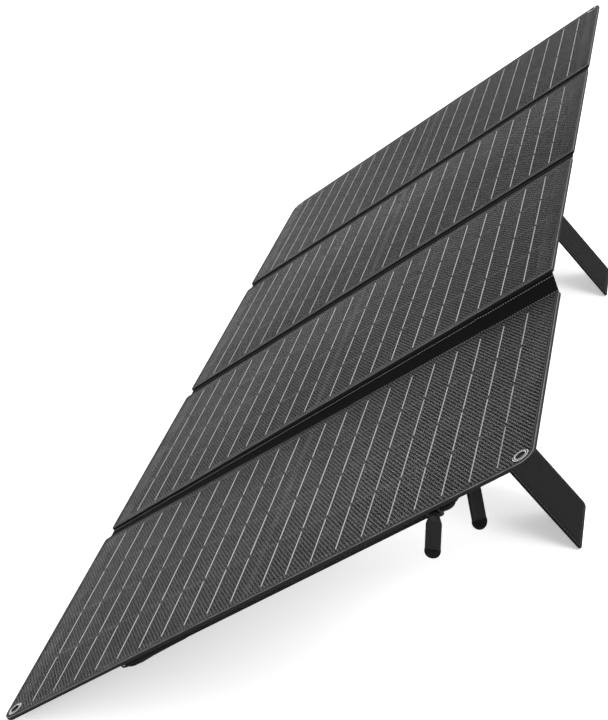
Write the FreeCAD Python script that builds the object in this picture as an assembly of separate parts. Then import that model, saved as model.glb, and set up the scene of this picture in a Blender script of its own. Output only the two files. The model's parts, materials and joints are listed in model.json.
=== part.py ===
"""Four-fold portable solar panel with two rear kick-flaps and a zipped pouch.

Most pieces are drawn in the sheet's own axes and are then stood up on the ground:
  x (called v)  up the slope, from the ground edge
  y             along the four panels, from the near end
  z (called n)  out of the sunny face, which lies at n = 0
Panel 1 has no kick-flap, so it leans back a little further than the others.
"""
import FreeCAD, Part
import math
import os

Vector = FreeCAD.Vector

# ---- panels and stance (mm, degrees)
TILT = 38.33                # slope of the sunny face from the ground
END_SAG = 1.5               # how much less panel 1 slopes, because no flap holds it
PANEL_COUNT = 4
PANEL_HEIGHT = 397.0        # up the slope
PANEL_WIDTH = 206.0         # along the row of panels
FOLD_GAP = 14.0             # cloth strip between two panels
OUTER_RADIUS = 9.0          # corners at the two ends of the row
INNER_RADIUS = 1.5          # corners beside a fold

# ---- layers, from the back to the front
FABRIC_T = 0.5
BOARD_T = 1.2
CELL_T = 0.2
RIBBON_T = 0.15
FILM_T = 0.55
THICKNESS = FABRIC_T + BOARD_T + CELL_T + RIBBON_T + FILM_T
BACK = -THICKNESS
BOARD_BACK = BACK + FABRIC_T
CELL_BACK = BOARD_BACK + BOARD_T
RIBBON_BACK = CELL_BACK + CELL_T
FILM_BACK = RIBBON_BACK + RIBBON_T

# ---- solar cells: quarter-cut wafers, two up the slope and four along
CELL_LENGTH = 182.0
CELL_WIDTH = 45.5
CELL_COLUMNS = 2
CELL_ROWS = 4
COLUMN_GAP = 5.0
ROW_GAP = 3.0
MARGIN_V = (PANEL_HEIGHT - CELL_COLUMNS * CELL_LENGTH - (CELL_COLUMNS - 1) * COLUMN_GAP) / 2
MARGIN_Y = (PANEL_WIDTH - CELL_ROWS * CELL_WIDTH - (CELL_ROWS - 1) * ROW_GAP) / 2
RIBBONS_PER_CELL = 10
RIBBON_WIDTH = 0.9
RIBBON_LENGTH = CELL_WIDTH - 1.0

# ---- corner eyelets
EYELET_INSET = 8.0
EYELET_BORE_R = 3.0
EYELET_BARREL_R = 3.4
EYELET_FLANGE_R = 5.0
EYELET_FLANGE_T = 0.4
EYELET_HOLE_R = 3.45

# ---- cloth strips at the folds
STRIP_T = 0.6
STRIP_CLEARANCE = 0.3       # from a panel's edge
STRIP_INSET_V = 1.0
FRONT_FOLD_N = BACK + 3.2   # axis of a fold that closes front to front, 1.2 mm apart
BACK_FOLD_N = BACK - 3.0    # axis of the fold that closes back to back, round a kick-flap
JUMPER_WIDTH = 5.0
JUMPER_T = 0.2
JUMPER_LIFT = 0.05
JUMPER_AT = (60.0, 337.0)   # heights up the slope of the two flat conductors

# ---- kick-flaps
KICK_PANELS = (2, 4)
KICK_CENTRE = 79.0          # from the panel's near edge
KICK_WIDTH = 62.5
KICK_LENGTH = 213.4         # from its axis to its foot
KICK_T = 2.4
KICK_ROOT = 1.8             # from its axis to where the flap begins
KICK_FOOT_RADIUS = 4.0
KICK_AXIS_V = 256.0
KICK_AXIS_N = BACK - KICK_T / 2 - 0.2
KICK_BOARD_T = 1.4
KICK_HEM = 4.0              # cloth beyond the board at the sides and foot
TAPE_LENGTH = 24.0
TAPE_T = 0.6
STRAP_REACH = 75.0          # from the flap's axis to the strap's ends
STRAP_WIDTH = 20.0
STRAP_T = 0.8
STRAP_SEAM = 24.0           # sewn length at each end

# ---- pouch on the back of panel 1
POUCH_V = (92.0, 343.0)
POUCH_Y = (8.0, 198.0)
POUCH_RADIUS = 8.0
POUCH_WALL = 1.0
POUCH_SPLIT_N = -6.75       # height of the zip line
POUCH_SPLIT_GAP = 0.3
POUCH_BACK_N = -13.1
ZIP_DEPTH = 1.0             # how far the zip stands out of the wall
ZIP_HEIGHT = 1.4
ZIP_FAR_END_Y = 190.0       # the zip stops short of the hinged side

# ---- zip sliders and their pull tabs
SLIDER_LENGTH = 8.0
SLIDER_DEPTH = 3.0
SLIDER_HEIGHT = 6.0
SLIDER_CLEARANCE = 0.3
SLIDER_NEAR_V = 329.5
SLIDER_TOP_Y = 27.0
STUB_R = 1.0
HEAD_R = 1.9
HEAD_T = 0.5
PULL_LENGTH = 27.4          # from the stub to the tip
PULL_WIDTH = 9.0
PULL_TOP_WIDTH = 6.0
PULL_T = 2.2
PULL_HOLE_R = 1.3
PULL_SHOULDER = 8.0         # from the stub down to the full width
PULL_TOP_TURN = 45.0        # the top slider's stub points half outward, half to the near end
PULL_TOP_REACH = 3.0        # extra length of that stub, so that the tab hangs clear of the pouch

# ---- junction box inside the pouch
BOX_V = (225.0, 301.0)
BOX_Y = (60.0, 108.0)
BOX_RADIUS = 4.0
BOX_WALL = 1.2
BOX_FLOOR_T = 1.0
BOX_LID_T = 1.0
BOX_LID_N = -10.2           # where the base ends and the lid begins
POST_R = 2.2
POST_INSET = 4.0
SCREW_R = 0.95
SCREW_BORE_R = 1.0
SCREW_HEAD_R = 1.8
SCREW_HEAD_T = 0.6
LID_HOLE_R = 1.1
PCB_T = 1.2
PCB_N = -3.9                # the board's face towards the panel
PCB_CLEARANCE = 0.4
USB_A = (13.1, 14.0, 5.0)   # width, depth, height
USB_C = (8.9, 7.4, 3.2)
USB_SHELL = 0.4
USB_A_V = 242.0
USB_C_V = 262.0
SOCKET_N = PCB_N - PCB_T
GLAND_V = 282.0
GLAND_BORE_R = 2.0
GLAND_BARREL_R = 2.7
GLAND_FLANGE_R = 3.1
GLAND_FLANGE_T = 0.8
BOX_MID_N = (BACK - BOX_FLOOR_T + BOX_LID_N) / 2


# ---- the sheet's axes and the ground
def panel_tilt(panel):
    return TILT - END_SAG if panel == 1 else TILT


def standing(v, y, n, tilt=TILT):
    """A point of the sheet, measured from the back ground corner at the near end."""
    slope = math.radians(tilt)
    x = v * math.cos(slope) - (n - BACK) * math.sin(slope)
    z = v * math.sin(slope) + (n - BACK) * math.cos(slope)
    return Vector(x, y, z)


def kick_angle():
    """The flap's slope below the horizontal when its foot just meets the ground."""
    drop = standing(KICK_AXIS_V, 0, KICK_AXIS_N).z
    half = KICK_T / 2
    return math.asin(drop / math.hypot(KICK_LENGTH, half)) - math.atan(half / KICK_LENGTH)


def row_length():
    return PANEL_COUNT * PANEL_WIDTH + (PANEL_COUNT - 1) * FOLD_GAP


def origin():
    """The middle of the footprint, on the ground."""
    axis = standing(KICK_AXIS_V, 0, KICK_AXIS_N)
    angle = kick_angle()
    foot = axis.x + KICK_LENGTH * math.cos(angle) + KICK_T / 2 * math.sin(angle)
    front = standing(0, 0, 0).x
    return Vector((front + foot) / 2, row_length() / 2, 0)


def stand_point(v, y, n, tilt=TILT):
    return standing(v, y, n, tilt) - origin()


def stand_direction(v, y, n, tilt=TILT):
    return standing(v, y, n, tilt) - standing(0, 0, 0, tilt)


def stand(shape, tilt=TILT):
    """Stand a shape drawn in the sheet's axes on the ground."""
    turn = FreeCAD.Rotation(Vector(0, 1, 0), -tilt)
    placed = shape.copy()
    placed.transformShape(FreeCAD.Placement(stand_point(0, 0, 0, tilt), turn).toMatrix())
    return placed


# ---- basic shapes
def rounded_wire(v0, v1, y0, y1, r_near, r_far, n):
    """A rectangle's outline with one radius at its near corners and one at its far corners."""
    corners = [(v0, y0, 1, 1, r_near), (v1, y0, -1, 1, r_near),
               (v1, y1, -1, -1, r_far), (v0, y1, 1, -1, r_far)]
    inward = 1 - math.sqrt(0.5)
    starts, middles, ends = [], [], []
    for index, (v, y, sign_v, sign_y, r) in enumerate(corners):
        along_y = Vector(v, y + sign_y * r, n)
        along_v = Vector(v + sign_v * r, y, n)
        first, last = (along_y, along_v) if index % 2 == 0 else (along_v, along_y)
        starts.append(first)
        middles.append(Vector(v + sign_v * r * inward, y + sign_y * r * inward, n))
        ends.append(last)
    edges = []
    for index in range(4):
        edges.append(Part.Arc(starts[index], middles[index], ends[index]).toShape())
        edges.append(Part.LineSegment(ends[index], starts[(index + 1) % 4]).toShape())
    return Part.Wire(edges)


def plate(v_span, y_span, n_span, r_near, r_far):
    wire = rounded_wire(*v_span, *y_span, r_near, r_far, n_span[0])
    return Part.Face(wire).extrude(Vector(0, 0, n_span[1] - n_span[0]))


def block(v_span, y_span, n_span):
    size = [span[1] - span[0] for span in (v_span, y_span, n_span)]
    return Part.makeBox(*size, Vector(v_span[0], y_span[0], n_span[0]))


def rod(radius, start, direction, length):
    return Part.makeCylinder(radius, length, start, direction)


def grown(span, amount):
    return (span[0] - amount, span[1] + amount)


def ring_wall(outer_growth, inner_growth, n_span):
    """A wall that follows the pouch's outline."""
    def body(growth):
        radius = POUCH_RADIUS + growth
        return plate(grown(POUCH_V, growth), grown(POUCH_Y, growth), n_span, radius, radius)
    return body(outer_growth).cut(body(inner_growth))


# ---- panels
def panel_start(panel):
    return (panel - 1) * (PANEL_WIDTH + FOLD_GAP)


def panel_radii(panel):
    near = OUTER_RADIUS if panel == 1 else INNER_RADIUS
    far = OUTER_RADIUS if panel == PANEL_COUNT else INNER_RADIUS
    return near, far


def eyelet_centres(panel):
    if panel == 1:
        y = EYELET_INSET
    elif panel == PANEL_COUNT:
        y = row_length() - EYELET_INSET
    else:
        return []
    return [(EYELET_INSET, y), (PANEL_HEIGHT - EYELET_INSET, y)]


def panel_layer(panel, n_span):
    start = panel_start(panel)
    layer = plate((0, PANEL_HEIGHT), (start, start + PANEL_WIDTH), n_span, *panel_radii(panel))
    for v, y in eyelet_centres(panel):
        layer = layer.cut(rod(EYELET_HOLE_R, Vector(v, y, n_span[0] - 1), Vector(0, 0, 1), 9))
    return layer


def cell_corners(panel):
    for column in range(CELL_COLUMNS):
        for row in range(CELL_ROWS):
            v = MARGIN_V + column * (CELL_LENGTH + COLUMN_GAP)
            y = panel_start(panel) + MARGIN_Y + row * (CELL_WIDTH + ROW_GAP)
            yield v, y


def cell_blocks(panel, n_span):
    return [block((v, v + CELL_LENGTH), (y, y + CELL_WIDTH), n_span)
            for v, y in cell_corners(panel)]


def ribbon_blocks(panel):
    pitch = CELL_LENGTH / RIBBONS_PER_CELL
    inset = (CELL_WIDTH - RIBBON_LENGTH) / 2
    ribbons = []
    for v, y in cell_corners(panel):
        for index in range(RIBBONS_PER_CELL):
            middle = v + pitch * (index + 0.5)
            v_span = grown((middle, middle), RIBBON_WIDTH / 2)
            y_span = (y + inset, y + inset + RIBBON_LENGTH)
            ribbons.append(block(v_span, y_span, (RIBBON_BACK, FILM_BACK)))
    return ribbons


def panel_pieces(panel):
    windows = Part.makeCompound(cell_blocks(panel, (CELL_BACK, FILM_BACK)))
    sheet = panel_layer(panel, (CELL_BACK, FILM_BACK)).cut(windows)
    return {
        f"front_film_{panel}": panel_layer(panel, (FILM_BACK, 0)),
        f"cell_seal_sheet_{panel}": sheet,
        f"solar_cells_{panel}": Part.makeCompound(cell_blocks(panel, (CELL_BACK, RIBBON_BACK))),
        f"busbar_ribbons_{panel}": Part.makeCompound(ribbon_blocks(panel)),
        f"backing_board_{panel}": panel_layer(panel, (BOARD_BACK, CELL_BACK)),
        f"back_fabric_{panel}": panel_layer(panel, (BACK, BOARD_BACK)),
    }


def eyelet(v, y):
    """One rolled tube with a flange on each face of the panel."""
    up = Vector(0, 0, 1)
    low = BACK - EYELET_FLANGE_T
    length = THICKNESS + 2 * EYELET_FLANGE_T
    flange_back = rod(EYELET_FLANGE_R, Vector(v, y, low), up, EYELET_FLANGE_T)
    flange_front = rod(EYELET_FLANGE_R, Vector(v, y, 0), up, EYELET_FLANGE_T)
    barrel = rod(EYELET_BARREL_R, Vector(v, y, low), up, length)
    bore = rod(EYELET_BORE_R, Vector(v, y, low - 1), up, length + 2)
    return barrel.fuse([flange_back, flange_front]).cut(bore)


# ---- folds
def fold_tilt(fold):
    """The slope midway between the slopes of the two panels beside a fold."""
    return (panel_tilt(fold) + panel_tilt(fold + 1)) / 2


def fold_axis(fold):
    """A point on the fold's axis, and the axis's direction."""
    y = panel_start(fold + 1) - FOLD_GAP / 2
    n = BACK_FOLD_N if fold == 2 else FRONT_FOLD_N
    return stand_point(PANEL_HEIGHT / 2, y, n, fold_tilt(fold)), stand_direction(1, 0, 0, fold_tilt(fold))


def fold_edges(fold):
    """The two panels beside a fold, each with where the cloth begins there."""
    near = panel_start(fold) + PANEL_WIDTH + STRIP_CLEARANCE
    far = panel_start(fold + 1) - STRIP_CLEARANCE
    return [(fold, near), (fold + 1, far)]


def fold_section(panel, y):
    """The strip's cross-section where it meets a panel's edge."""
    v0, v1 = STRIP_INSET_V, PANEL_HEIGHT - STRIP_INSET_V
    n0, n1 = BACK, BACK + STRIP_T
    corners = [(v0, n0), (v1, n0), (v1, n1), (v0, n1)]
    points = [stand_point(v, y, n, panel_tilt(panel)) for v, n in corners]
    return Part.makePolygon(points + points[:1])


def fold_strip(fold):
    """Cloth from one panel's edge to the next, slightly twisted where their slopes differ."""
    sections = [fold_section(panel, y) for panel, y in fold_edges(fold)]
    return Part.makeLoft(sections, True, True)


def fold_jumper(fold, v):
    """A flat conductor: a straight bar from one panel's edge to the next."""
    low = BACK + STRIP_T + JUMPER_LIFT
    near, far = [stand_point(v, y, low, panel_tilt(panel)) for panel, y in fold_edges(fold)]
    across = stand_direction(JUMPER_WIDTH / 2, 0, 0, fold_tilt(fold))
    up = stand_direction(0, 0, JUMPER_T, fold_tilt(fold))
    points = [near - across, near + across, near + across + up, near - across + up]
    return Part.Face(Part.makePolygon(points + points[:1])).extrude(far - near)


def fold_pieces(fold):
    jumpers = [fold_jumper(fold, v) for v in JUMPER_AT]
    return {f"fold_strip_{fold}": fold_strip(fold), f"fold_jumpers_{fold}": Part.makeCompound(jumpers)}


# ---- kick-flaps, drawn along +x from their axis and then swung down to the ground
def kick_place(shape, panel):
    turn = FreeCAD.Rotation(Vector(0, 1, 0), math.degrees(kick_angle()))
    y = panel_start(panel) + KICK_CENTRE
    placed = shape.copy()
    placed.transformShape(FreeCAD.Placement(stand_point(KICK_AXIS_V, y, KICK_AXIS_N), turn).toMatrix())
    return placed


def kick_outline(start, end, width, thickness, radius):
    """A flat flap with square corners at its root and round ones at its foot."""
    half = width / 2
    slab = block((start, end), (-half, half), (-thickness / 2, thickness / 2))
    if radius == 0:
        return slab
    foot_edges = [edge for edge in slab.Edges
                  if all(abs(vertex.X - end) < 1e-6 for vertex in edge.Vertexes)
                  and abs(edge.Vertexes[0].Y - edge.Vertexes[1].Y) < 1e-6]
    return slab.makeFillet(radius, foot_edges)


def strap_leg(start, end):
    """A flat run of webbing between two points of the flap's own side view."""
    run = end - start
    leg = block((0, run.Length), (-STRAP_WIDTH / 2, STRAP_WIDTH / 2), (-STRAP_T / 2, STRAP_T / 2))
    slope = math.degrees(math.atan2(run.z, run.x))
    leg.rotate(Vector(), Vector(0, 1, 0), -slope)
    leg.translate(start)
    return leg


def limit_strap(panel):
    """Webbing sewn to the panel and to the flap, just tight when the flap stands."""
    y = panel_start(panel) + KICK_CENTRE
    back = BACK - STRAP_T / 2
    axis = stand_point(KICK_AXIS_V, y, KICK_AXIS_N)
    along = Vector(math.cos(kick_angle()), 0, -math.sin(kick_angle()))
    towards_panel = Vector(-math.sin(kick_angle()), 0, -math.cos(kick_angle()))
    face = towards_panel * (KICK_T / 2 + STRAP_T / 2)
    points = [stand_point(KICK_AXIS_V - STRAP_REACH - STRAP_SEAM, y, back),
              stand_point(KICK_AXIS_V - STRAP_REACH, y, back),
              axis + along * STRAP_REACH + face,
              axis + along * (STRAP_REACH + STRAP_SEAM) + face]
    legs = [strap_leg(first, second) for first, second in zip(points, points[1:])]
    return legs[0].fuse(legs[1:])


def kick_pieces(panel):
    sleeve = kick_outline(KICK_ROOT, KICK_LENGTH, KICK_WIDTH, KICK_T, KICK_FOOT_RADIUS)
    board = kick_outline(KICK_ROOT, KICK_LENGTH - KICK_HEM, KICK_WIDTH - 2 * KICK_HEM, KICK_BOARD_T, 0)
    middle = panel_start(panel) + KICK_CENTRE
    tape = block((KICK_AXIS_V + 1, KICK_AXIS_V + 1 + TAPE_LENGTH),
                 grown((middle, middle), KICK_WIDTH / 2), (BACK - TAPE_T, BACK))
    return {
        f"kick_sleeve_{panel}": kick_place(sleeve.cut(board), panel),
        f"kick_board_{panel}": kick_place(board, panel),
        f"kick_hinge_tape_{panel}": stand(tape),
        f"kick_limit_strap_{panel}": limit_strap(panel),
    }


# ---- pouch
def zip_half(n_span):
    keep = block(grown(POUCH_V, 9), (POUCH_Y[0] - 9, ZIP_FAR_END_Y), grown(n_span, 1))
    return ring_wall(ZIP_DEPTH, 0, n_span).common(keep)


def pouch_pieces():
    upper_n = POUCH_SPLIT_N + POUCH_SPLIT_GAP / 2
    lower_n = POUCH_SPLIT_N - POUCH_SPLIT_GAP / 2
    pan = plate(POUCH_V, POUCH_Y, (POUCH_BACK_N, lower_n), POUCH_RADIUS, POUCH_RADIUS)
    inner_radius = POUCH_RADIUS - POUCH_WALL
    inside = plate(grown(POUCH_V, -POUCH_WALL), grown(POUCH_Y, -POUCH_WALL),
                   (POUCH_BACK_N + POUCH_WALL, lower_n + 1), inner_radius, inner_radius)
    return {
        "pouch_gusset": ring_wall(0, -POUCH_WALL, (upper_n, BACK)),
        "pouch_cover": pan.cut(inside),
        "zip_upper": zip_half((upper_n, upper_n + ZIP_HEIGHT)),
        "zip_lower": zip_half((lower_n - ZIP_HEIGHT, lower_n)),
    }


def slider(direction, reach):
    """A zip slider drawn at the origin: its length is along x, and it stands out along -y."""
    half_length, half_height = SLIDER_LENGTH / 2, SLIDER_HEIGHT / 2
    shell = block((-half_length, half_length), (-SLIDER_DEPTH, 0), (-half_height, half_height))
    upright = [edge for edge in shell.Edges
               if all(abs(vertex.Y + SLIDER_DEPTH) < 1e-6 for vertex in edge.Vertexes)]
    shell = shell.makeChamfer(0.8, upright)
    start = Vector(0, -SLIDER_DEPTH / 2, 0)
    stub = rod(STUB_R, start, direction, reach + HEAD_T)
    head = rod(HEAD_R, start + direction * reach, direction, HEAD_T)
    return shell.fuse([stub, head]).removeSplitter()


def pull_tab():
    """A moulded tab that hangs along -z from its hole, with its thickness along y."""
    half, top, tip = PULL_WIDTH / 2, PULL_TOP_WIDTH / 2, PULL_LENGTH - PULL_WIDTH / 2
    points = [Vector(-top, 0, 0), Vector(-half, 0, -PULL_SHOULDER), Vector(-half, 0, -tip)]
    mirrored = [Vector(-point.x, 0, point.z) for point in reversed(points)]
    edges = [Part.LineSegment(points[0], points[1]).toShape(),
             Part.LineSegment(points[1], points[2]).toShape(),
             Part.Arc(points[2], Vector(0, 0, -PULL_LENGTH), mirrored[0]).toShape(),
             Part.LineSegment(mirrored[0], mirrored[1]).toShape(),
             Part.LineSegment(mirrored[1], mirrored[2]).toShape(),
             Part.Arc(mirrored[2], Vector(0, 0, top), points[0]).toShape()]
    tab = Part.Face(Part.Wire(edges)).extrude(Vector(0, PULL_T, 0))
    tab.translate(Vector(0, -PULL_T / 2, 0))
    return tab.cut(rod(PULL_HOLE_R, Vector(0, -PULL_T, 0), Vector(0, 1, 0), 2 * PULL_T))


def pull_gap(turn):
    """How far along a stub, turned from straight out, the tab starts clear of the slider."""
    outer = SLIDER_DEPTH / 2 * math.cos(turn) + SLIDER_LENGTH / 2 * math.sin(turn)
    return outer + SLIDER_CLEARANCE


def near_slider_pieces():
    gap = pull_gap(0)
    shape = slider(Vector(0, -1, 0), gap + PULL_T + SLIDER_CLEARANCE)
    wall_y = POUCH_Y[0] - ZIP_DEPTH - SLIDER_CLEARANCE
    shape.translate(Vector(SLIDER_NEAR_V, wall_y, POUCH_SPLIT_N))
    pivot_y = wall_y - SLIDER_DEPTH / 2 - gap - PULL_T / 2
    pivot = stand_point(SLIDER_NEAR_V, pivot_y, POUCH_SPLIT_N, panel_tilt(1))
    tab = pull_tab()
    tab.translate(pivot)
    return {"zip_slider_near": stand(shape, panel_tilt(1)), "pull_tab_near": tab}, pivot


def top_slider_pieces():
    turn = math.radians(PULL_TOP_TURN)
    gap = pull_gap(turn) + PULL_TOP_REACH
    shape = slider(Vector(-math.sin(turn), -math.cos(turn), 0), gap + PULL_T + SLIDER_CLEARANCE)
    shape.rotate(Vector(), Vector(0, 0, 1), 90)
    wall_v = POUCH_V[1] + ZIP_DEPTH + SLIDER_CLEARANCE
    shape.translate(Vector(wall_v, SLIDER_TOP_Y, POUCH_SPLIT_N))
    direction = Vector(math.cos(turn), -math.sin(turn), 0)
    middle = Vector(wall_v + SLIDER_DEPTH / 2, SLIDER_TOP_Y, POUCH_SPLIT_N)
    local_pivot = middle + direction * (gap + PULL_T / 2)
    pivot = stand_point(*local_pivot, panel_tilt(1))
    axis = stand_direction(*direction, panel_tilt(1))
    hang = Vector(0, 0, -1) + axis * axis.z
    hang.normalize()
    side = axis.cross(hang)
    turn_matrix = FreeCAD.Matrix(side.x, axis.x, -hang.x, pivot.x,
                                 side.y, axis.y, -hang.y, pivot.y,
                                 side.z, axis.z, -hang.z, pivot.z,
                                 0, 0, 0, 1)
    tab = pull_tab()
    tab.transformShape(turn_matrix)
    return {"zip_slider_top": stand(shape, panel_tilt(1)), "pull_tab_top": tab}, pivot, axis


# ---- junction box
def box_corners():
    for v in (BOX_V[0] + POST_INSET, BOX_V[1] - POST_INSET):
        for y in (BOX_Y[0] + POST_INSET, BOX_Y[1] - POST_INSET):
            yield v, y


def socket_mouth(v, size, growth=0.0):
    """The space of a socket's metal shell, from the box's near wall inwards."""
    width, depth, height = size
    return block(grown((v, v), width / 2 + growth),
                 (BOX_Y[0], BOX_Y[0] + depth),
                 (SOCKET_N - height - growth, SOCKET_N + growth))


def box_base():
    base = plate(BOX_V, BOX_Y, (BOX_LID_N, BACK), BOX_RADIUS, BOX_RADIUS)
    inner = BOX_RADIUS - BOX_WALL
    hollow = plate(grown(BOX_V, -BOX_WALL), grown(BOX_Y, -BOX_WALL),
                   (BOX_LID_N - 1, BACK - BOX_FLOOR_T), inner, inner)
    base = base.cut(hollow)
    up = Vector(0, 0, 1)
    height = BACK - BOX_FLOOR_T - BOX_LID_N
    posts = [rod(POST_R, Vector(v, y, BOX_LID_N), up, height) for v, y in box_corners()]
    bores = [rod(SCREW_BORE_R, Vector(v, y, BOX_LID_N - 1), up, height - 1) for v, y in box_corners()]
    base = base.fuse(posts).cut(Part.makeCompound(bores))
    gland_hole = rod(GLAND_BARREL_R, Vector(GLAND_V, BOX_Y[0] - 1, BOX_MID_N), Vector(0, 1, 0), 4)
    return base.cut([socket_mouth(USB_A_V, USB_A), socket_mouth(USB_C_V, USB_C), gland_hole])


def box_lid():
    lid = plate(BOX_V, BOX_Y, (BOX_LID_N - BOX_LID_T, BOX_LID_N), BOX_RADIUS, BOX_RADIUS)
    holes = [rod(LID_HOLE_R, Vector(v, y, BOX_LID_N - 2), Vector(0, 0, 1), 4) for v, y in box_corners()]
    return lid.cut(holes)


def box_screw(v, y):
    low = BOX_LID_N - BOX_LID_T
    shank = rod(SCREW_R, Vector(v, y, low), Vector(0, 0, 1), BOX_LID_T + 3.5)
    head = rod(SCREW_HEAD_R, Vector(v, y, low - SCREW_HEAD_T), Vector(0, 0, 1), SCREW_HEAD_T)
    return shank.fuse(head)


def circuit_board():
    """A board with its corners cut away for the posts, and a notch behind the gland."""
    inset = -BOX_WALL - PCB_CLEARANCE
    through = (PCB_N - 2 * PCB_T, PCB_N + PCB_T)
    board = block(grown(BOX_V, inset), grown(BOX_Y, inset), (PCB_N - PCB_T, PCB_N))
    reach = POST_R + POST_INSET
    cuts = [block(grown((v, v), reach), grown((y, y), reach), through) for v, y in box_corners()]
    notch_depth = BOX_WALL + GLAND_FLANGE_T + PCB_CLEARANCE
    cuts.append(block(grown((GLAND_V, GLAND_V), GLAND_FLANGE_R + PCB_CLEARANCE),
                      (BOX_Y[0], BOX_Y[0] + notch_depth), through))
    return board.cut(cuts)


def socket(v, size):
    """A metal shell, open towards the near end, with a tongue inside."""
    width, depth, height = size
    shell = socket_mouth(v, size)
    hollow = block(grown((v, v), width / 2 - USB_SHELL), (BOX_Y[0] - 1, BOX_Y[0] + depth - 1),
                   (SOCKET_N - height + USB_SHELL, SOCKET_N - USB_SHELL))
    middle = SOCKET_N - height / 2
    tongue = block(grown((v, v), width / 2 - 1.4), (BOX_Y[0] + 1, BOX_Y[0] + depth),
                   grown((middle, middle), height / 10))
    return shell.cut(hollow).fuse(tongue)


def output_gland():
    """A rubber bush in the box's near wall."""
    out = Vector(0, 1, 0)
    near = BOX_Y[0] - GLAND_FLANGE_T
    length = BOX_WALL + 2 * GLAND_FLANGE_T
    barrel = rod(GLAND_BARREL_R, Vector(GLAND_V, near, BOX_MID_N), out, length)
    flanges = [rod(GLAND_FLANGE_R, Vector(GLAND_V, y, BOX_MID_N), out, GLAND_FLANGE_T)
               for y in (near, BOX_Y[0] + BOX_WALL)]
    bore = rod(GLAND_BORE_R, Vector(GLAND_V, near - 1, BOX_MID_N), out, length + 2)
    return barrel.fuse(flanges).cut(bore)


def box_pieces():
    return {
        "junction_box_base": box_base(),
        "junction_box_lid": box_lid(),
        "junction_box_screws": Part.makeCompound([box_screw(v, y) for v, y in box_corners()]),
        "circuit_board": circuit_board(),
        "usb_a_socket": socket(USB_A_V, USB_A),
        "usb_c_socket": socket(USB_C_V, USB_C),
        "output_gland": output_gland(),
    }


# ---- the whole object
def flat_pieces(panel):
    """What is drawn in the sheet's axes and belongs to one panel."""
    pieces = panel_pieces(panel)
    if eyelet_centres(panel):
        eyelets = [eyelet(v, y) for v, y in eyelet_centres(panel)]
        pieces[f"corner_eyelets_{panel}"] = Part.makeCompound(eyelets)
    if panel == 1:
        pieces.update(pouch_pieces())
        pieces.update(box_pieces())
    return pieces


def all_pieces():
    pieces = {}
    for panel in range(1, PANEL_COUNT + 1):
        for name, shape in flat_pieces(panel).items():
            pieces[name] = stand(shape, panel_tilt(panel))
    for fold in range(1, PANEL_COUNT):
        pieces.update(fold_pieces(fold))
    for panel in KICK_PANELS:
        pieces.update(kick_pieces(panel))
    pieces.update(near_slider_pieces()[0])
    pieces.update(top_slider_pieces()[0])
    return pieces


def print_axes():
    """Where the folds and the pull tabs turn."""
    for fold in range(1, PANEL_COUNT):
        point, direction = fold_axis(fold)
        print("fold", fold, "turns about", point, direction)
    print("near pull tab turns about", near_slider_pieces()[1])
    print("top pull tab turns about", *top_slider_pieces()[1:])


def main():
    os.makedirs("parts", exist_ok=True)
    pieces = all_pieces()
    for name, shape in pieces.items():
        shape.exportStep(f"parts/{name}.step")
    bounds = Part.makeCompound(list(pieces.values())).BoundBox
    print(len(pieces), "pieces, box", [round(value, 2) for value in (
        bounds.XMin, bounds.XMax, bounds.YMin, bounds.YMax, bounds.ZMin, bounds.ZMax)])
    print_axes()


main()
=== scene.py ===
import bmesh
import bpy
import json
import math
import numpy as np
from mathutils import Matrix, Vector


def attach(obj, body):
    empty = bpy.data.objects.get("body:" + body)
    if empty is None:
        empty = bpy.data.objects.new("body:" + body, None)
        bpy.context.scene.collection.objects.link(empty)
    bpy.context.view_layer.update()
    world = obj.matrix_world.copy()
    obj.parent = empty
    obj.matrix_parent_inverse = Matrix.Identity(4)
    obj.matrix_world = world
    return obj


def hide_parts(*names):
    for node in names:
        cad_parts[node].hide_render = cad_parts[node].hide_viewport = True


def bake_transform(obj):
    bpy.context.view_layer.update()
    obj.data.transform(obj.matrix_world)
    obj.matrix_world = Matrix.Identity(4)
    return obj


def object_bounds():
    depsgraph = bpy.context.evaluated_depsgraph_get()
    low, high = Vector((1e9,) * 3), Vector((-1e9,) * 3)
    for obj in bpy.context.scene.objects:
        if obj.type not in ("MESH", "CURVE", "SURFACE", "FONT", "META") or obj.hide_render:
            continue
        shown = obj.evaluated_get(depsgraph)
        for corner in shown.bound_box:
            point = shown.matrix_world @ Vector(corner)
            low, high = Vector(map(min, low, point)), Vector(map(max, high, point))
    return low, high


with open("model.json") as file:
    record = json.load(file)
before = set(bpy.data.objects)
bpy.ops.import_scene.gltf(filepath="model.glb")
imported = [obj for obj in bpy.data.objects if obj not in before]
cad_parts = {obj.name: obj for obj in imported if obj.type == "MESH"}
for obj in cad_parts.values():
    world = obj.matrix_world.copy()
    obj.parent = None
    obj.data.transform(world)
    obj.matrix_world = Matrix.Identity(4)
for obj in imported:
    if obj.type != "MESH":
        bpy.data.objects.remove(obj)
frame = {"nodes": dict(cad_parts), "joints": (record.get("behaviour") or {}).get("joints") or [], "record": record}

CAD_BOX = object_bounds()
NODES = frame["nodes"]
RECORD = frame["record"]
MM = 0.001
UP = Vector((0, 0, 1))
Y_AXIS = Vector((0, 1, 0))
PANELS = (1, 2, 3, 4)
FOLDS = (1, 2, 3)
KICK_PANELS = (2, 4)


# ---- axes read from the frame
def coordinates(item):
    return np.array([vertex.co for vertex in item.data.vertices])


class Axes:
    """Three unit directions; a point's coordinates are its distances along them."""

    def __init__(self, v, y, n):
        self.v, self.y, self.n = v.normalized(), y.normalized(), n.normalized()

    def world(self, v, y, n):
        return self.v * v + self.y * y + self.n * n

    def span(self, node):
        """How far a CAD node reaches along each direction."""
        points = coordinates(NODES[node])
        spans = []
        for direction in (self.v, self.y, self.n):
            reach = points @ np.array(direction)
            spans.append((float(reach.min()), float(reach.max())))
        return spans


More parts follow.
